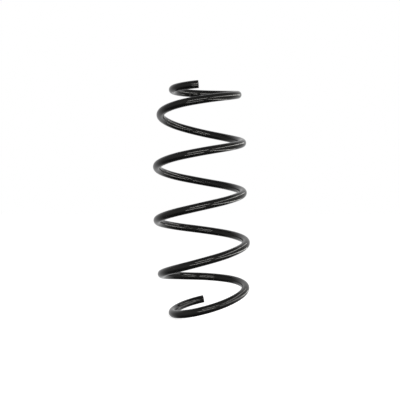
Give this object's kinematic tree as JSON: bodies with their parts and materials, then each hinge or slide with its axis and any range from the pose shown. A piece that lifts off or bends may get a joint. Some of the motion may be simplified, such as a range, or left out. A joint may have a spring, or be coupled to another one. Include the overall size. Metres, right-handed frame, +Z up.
{
  "type": "suspension spring",
  "caption": "Coil spring for a vehicle's suspension strut, wound from round steel bar, with a bowed axis, inclined end coils and a narrow upper end.",
  "frame": {"origin": "at the lower seat: on the axis of the lower end coil, level with the bar's lowest point", "axes": "+Z up along the spring from the lower to the upper seat, -Y towards the upper cut end and the picture's camera, +X to the right in the picture"},
  "size_m": [0.1552, 0.1522, 0.3716],
  "materials": {
    "coating": "black, glossy, baked coating with fine orange peel"
  },
  "bodies": {
    "root": {"spring": "coating"}
  },
  "joints": []
}
